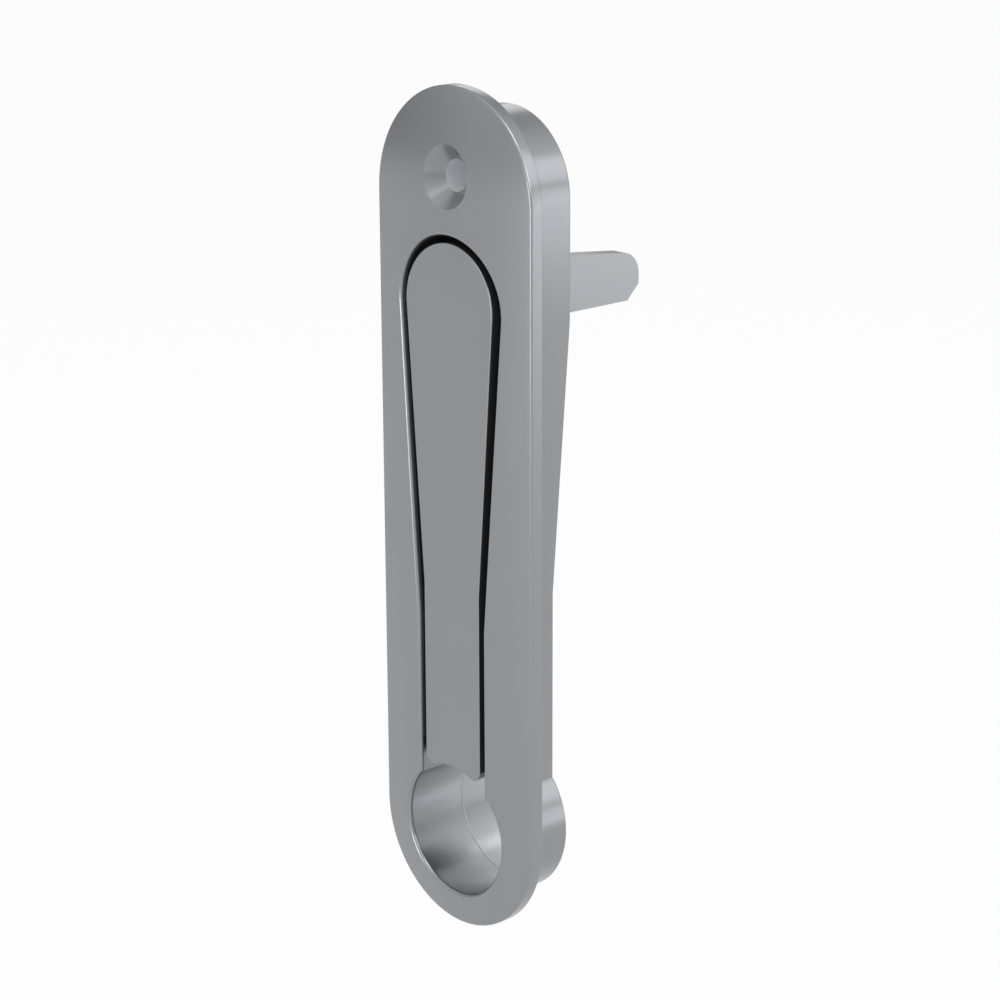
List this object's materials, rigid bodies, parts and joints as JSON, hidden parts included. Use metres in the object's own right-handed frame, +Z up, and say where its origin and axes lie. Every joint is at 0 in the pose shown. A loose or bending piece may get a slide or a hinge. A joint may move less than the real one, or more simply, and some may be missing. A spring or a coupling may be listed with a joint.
{
  "type": "flush pull handle",
  "caption": "Oblong flush pull handle for a sliding window, with a spring-return flip-out lever, a round finger cup and a rear drive tongue.",
  "frame": {"origin": "on the axis of the upper fixing hole, in the plane of the plate's back face, which lies on the sash", "axes": "+Y into the sash, +Z up towards the end with the open screw hole, +X to the right as the user sees the handle"},
  "size_m": [0.0382, 0.0447, 0.15],
  "materials": {
    "grey_lacquer": "satin grey lacquer over cast zinc",
    "zinc_plated_steel": "zinc plated sheet and screws",
    "bright_steel": "ground pins and drawn spring wire",
    "black_nylon": "moulded, matt",
    "white_acetal": "turned, satin",
    "black_rubber": "moulded, matt"
  },
  "bodies": {
    "housing": {"housing": "grey_lacquer", "rear_cover": "zinc_plated_steel", "cover_screws": "zinc_plated_steel", "pivot_pin": "bright_steel", "pivot_spacer_left": "black_nylon", "pivot_spacer_right": "black_nylon", "rest_pads": "black_rubber", "return_spring_left": "bright_steel", "return_spring_right": "bright_steel"},
    "lever": {"lever": "grey_lacquer", "pivot_bush_left": "white_acetal", "pivot_bush_right": "white_acetal", "drive_tongue": "grey_lacquer", "tongue_lock_pin": "bright_steel"}
  },
  "joints": [
    {"name": "lever_pivot", "type": "hinge", "parent": "housing", "child": "lever", "pos_m": [0, 0.0006, -0.022], "axis": [-1, 0, 0], "range_deg": [0, 30], "stiffness_Nm_per_rad": 0.3, "springref_deg": -20.05, "deforming": ["return_spring_left", "return_spring_right"]}
  ]
}
